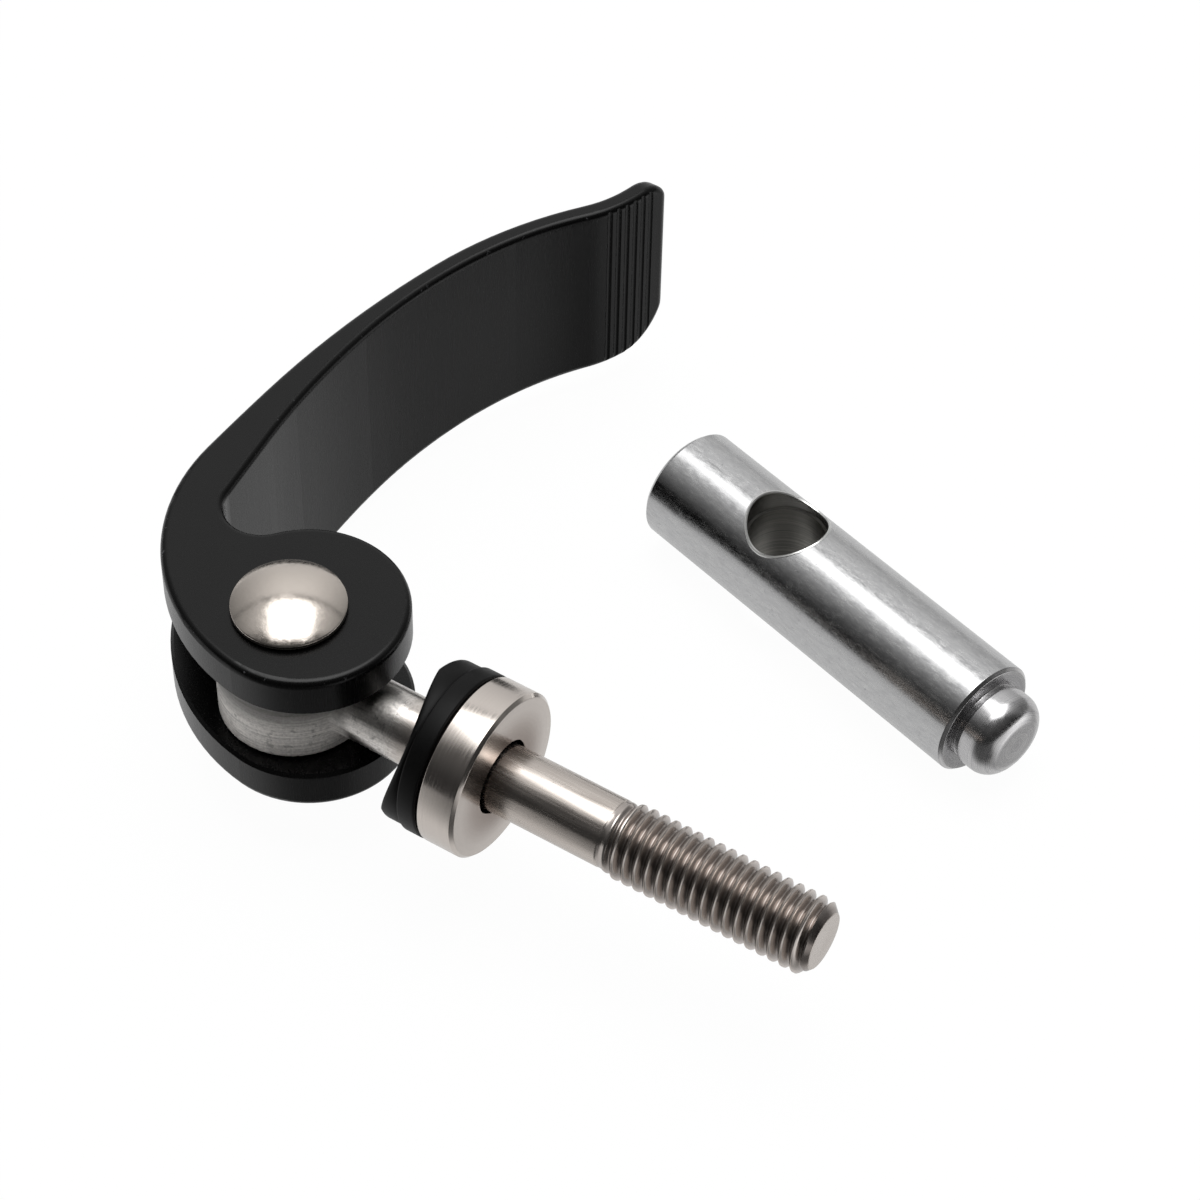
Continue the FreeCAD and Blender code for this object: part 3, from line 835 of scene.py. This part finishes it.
def floor():
    """Pale floor: white to the camera with a faint shadow, and clear to what mirrors it."""
    bm = bmesh.new()
    bmesh.ops.create_grid(bm, x_segments=1, y_segments=1, size=FLOOR_HALF_METRES)
    mesh = bpy.data.meshes.new("floor")
    bm.to_mesh(mesh)
    bm.free()
    mesh.transform(Matrix.Translation((0, 0, (FLOOR_Z - FLOOR_GAP) * MM)))
    ground = bpy.data.objects.new("floor", mesh)
    bpy.context.scene.collection.objects.link(ground)
    material, tree, bsdf = new_material("pale_floor")
    connect(tree, bsdf, {"Base Color": linear("#f2f2f2"), "Roughness": 0.9})
    rays = add(tree, "ShaderNodeLightPath").outputs
    white = add(tree, "ShaderNodeEmission", {"Color": linear("#ffffff"), "Strength": FLOOR_GAIN})
    glow = add(tree, "ShaderNodeMath", (rays["Is Camera Ray"], FLOOR_SEEN_GLOW), operation="MULTIPLY")
    seen = add(tree, "ShaderNodeMixShader", (glow, bsdf, white))
    clear = add(tree, "ShaderNodeBsdfTransparent")
    mirrored = add(tree, "ShaderNodeMath", (rays["Is Glossy Ray"], FLOOR_MIRRORED_SHARE),
                   operation="MULTIPLY")
    mixed = add(tree, "ShaderNodeMixShader", (mirrored, seen, clear))
    connect(tree, tree.nodes["Material Output"], {"Surface": mixed})
    mesh.materials.append(material)


def backdrop_light(tree, along, across, height):
    """Pale behind the object, fading to its sides, and dark towards the camera."""
    off_middle = add(tree, "ShaderNodeMath", (across,), operation="ABSOLUTE")
    aside = add(tree, "ShaderNodeMapRange", (off_middle, BACKDROP_SIDE_STARTS, BACKDROP_SIDE_ENDS, 1.0,
                                             BACKDROP_SIDE_SHARE), interpolation_type="SMOOTHSTEP")
    near = add(tree, "ShaderNodeMapRange", (height, CAMERA_SIDE_RISES, CAMERA_SIDE_TOP, CAMERA_SIDE_LOW,
                                            CAMERA_SIDE_HIGH), interpolation_type="SMOOTHSTEP")
    share = add(tree, "ShaderNodeMapRange", (along, BACKDROP_FADES, BACKDROP_FULL, near, aside),
                interpolation_type="SMOOTHSTEP")
    level = add(tree, "ShaderNodeMapRange", (height, 0.0, BACKDROP_TOP, BACKDROP_LOW, BACKDROP_HIGH),
                interpolation_type="SMOOTHSTEP")
    return add(tree, "ShaderNodeMath", (level, share), operation="MULTIPLY")


def overhead_light(tree, along, across, height, backdrop):
    """The backdrop with a dark seam across it and a soft-edged softbox overhead."""
    lift = add(tree, "ShaderNodeMath", (height, LOWEST_LIFT), operation="MAXIMUM")
    slope = add(tree, "ShaderNodeMath", (along, lift), operation="DIVIDE")
    sideways = add(tree, "ShaderNodeMath", (across, lift), operation="DIVIDE")
    past_seam = add(tree, "ShaderNodeMath", (slope, SEAM_PLACE), operation="SUBTRACT")
    from_seam = add(tree, "ShaderNodeMath", (past_seam,), operation="ABSOLUTE")
    seam = add(tree, "ShaderNodeMapRange", (from_seam, 0.0, SEAM_HALF_WIDTH, SEAM_SHARE, 1.0),
               interpolation_type="SMOOTHSTEP")
    seamed = add(tree, "ShaderNodeMath", (backdrop, seam), operation="MULTIPLY")
    past_middle = add(tree, "ShaderNodeMath", (slope, SOFTBOX_FAR), operation="SUBTRACT")
    from_middle = add(tree, "ShaderNodeMath", (past_middle,), operation="ABSOLUTE")
    aside = add(tree, "ShaderNodeMath", (sideways,), operation="ABSOLUTE")
    inside = [add(tree, "ShaderNodeMapRange", (distance, half - blur, half + blur, 1.0, 0.0),
                  interpolation_type="SMOOTHSTEP")
              for distance, half, blur in ((from_middle, SOFTBOX_HALF_LENGTH, SOFTBOX_END_BLUR),
                                           (aside, SOFTBOX_HALF_WIDTH, SOFTBOX_SIDE_BLUR))]
    softbox = add(tree, "ShaderNodeMath", inside, operation="MULTIPLY")
    return add(tree, "ShaderNodeMath", (softbox, SOFTBOX_RADIANCE, seamed), operation="MULTIPLY_ADD")


def light_from_below(tree, along, rightward):
    """What mirrors the floor: pale behind, dark in front, with a dip before the bright right."""
    behind = add(tree, "ShaderNodeMapRange", (along, BELOW_FADES, BELOW_FULL, BELOW_FRONT, BELOW_BEHIND),
                 interpolation_type="SMOOTHSTEP")
    past_dip = add(tree, "ShaderNodeMath", (rightward, DIP_PLACE), operation="SUBTRACT")
    from_dip = add(tree, "ShaderNodeMath", (past_dip,), operation="ABSOLUTE")
    dip = add(tree, "ShaderNodeMapRange", (from_dip, 0.0, DIP_HALF_WIDTH, DIP_SHARE, 1.0),
              interpolation_type="SMOOTHSTEP")
    dipped = add(tree, "ShaderNodeMath", (behind, dip), operation="MULTIPLY")
    right = add(tree, "ShaderNodeMapRange",
                (rightward, BELOW_RIGHT_STARTS, BELOW_RIGHT_FULL, 0.0, BELOW_RIGHT),
                interpolation_type="SMOOTHSTEP")
    return add(tree, "ShaderNodeMath", (dipped, right), operation="ADD")


def studio_world(camera_side):
    """White to the camera; to the object a room pale behind and below, dark in front, lit from overhead."""
    world = bpy.data.worlds.new("studio")
    bpy.context.scene.world = world
    world.use_nodes = True
    tree = world.node_tree
    towards = add(tree, "ShaderNodeTexCoord").outputs["Generated"]
    parts = add(tree, "ShaderNodeSeparateXYZ", (towards,)).outputs
    along = add(tree, "ShaderNodeVectorMath", (towards, -camera_side), operation="DOT_PRODUCT")
    across = add(tree, "ShaderNodeVectorMath", (towards, camera_side.cross(Vector((0, 0, 1)))),
                 operation="DOT_PRODUCT")
    backdrop = backdrop_light(tree, along, across, parts["Z"])
    above = overhead_light(tree, along, across, parts["Z"], backdrop)
    below = light_from_below(tree, along, parts["X"])
    upward = add(tree, "ShaderNodeMath", (parts["Z"], 0.0), operation="GREATER_THAN")
    level = add(tree, "ShaderNodeMix", {0: upward, 2: below, 3: above})
    room = add(tree, "ShaderNodeBackground", {"Color": linear("#ffffff"), "Strength": level})
    white = add(tree, "ShaderNodeBackground", {"Color": linear("#ffffff"), "Strength": 1.0})
    seen = add(tree, "ShaderNodeLightPath").outputs["Is Camera Ray"]
    mixed = add(tree, "ShaderNodeMixShader", (seen, room, white))
    connect(tree, tree.nodes["World Output"], {"Surface": mixed})


def camera_axes():
    elevation = radians(CAMERA_ELEVATION)
    azimuth = radians(CAMERA_AZIMUTH)
    roll = radians(CAMERA_ROLL)
    back = Vector((sin(azimuth) * cos(elevation), -cos(azimuth) * cos(elevation), sin(elevation)))
    level = Vector((cos(azimuth), sin(azimuth), 0))
    upright = back.cross(level)
    right = cos(roll) * level + sin(roll) * upright
    up = cos(roll) * upright - sin(roll) * level
    return right, up, back


def camera():
    right, up, back = camera_axes()
    place = CAMERA_RIGHT * right + CAMERA_UP * up + CAMERA_BACK * back + Vector((PIVOT_X, 0, 0))
    data = bpy.data.cameras.new("camera")
    data.sensor_width = CAMERA_SENSOR
    data.lens = CAMERA_LENS
    data.clip_start = 0.01
    made = bpy.data.objects.new("camera", data)
    made.matrix_world = Matrix.Translation(place * MM) @ Matrix((right, up, back)).transposed().to_4x4()
    bpy.context.scene.collection.objects.link(made)
    bpy.context.scene.camera = made


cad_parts["lever"].data.materials.clear()
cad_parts["lever"].data.materials.append(black_coat())
rivet(polished_nickel())
bolt(rolled_steel(), blasted_steel(), threaded_steel())
washer(turned_stainless())
saddle(black_nylon())
barrel(drawn_steel())
hole_burr(torn_steel())

camera_back = camera_axes()[2]
floor()
studio_world(Vector((camera_back.x, camera_back.y, 0)).normalized())
camera()

bpy.context.scene.view_settings.view_transform = "Standard"
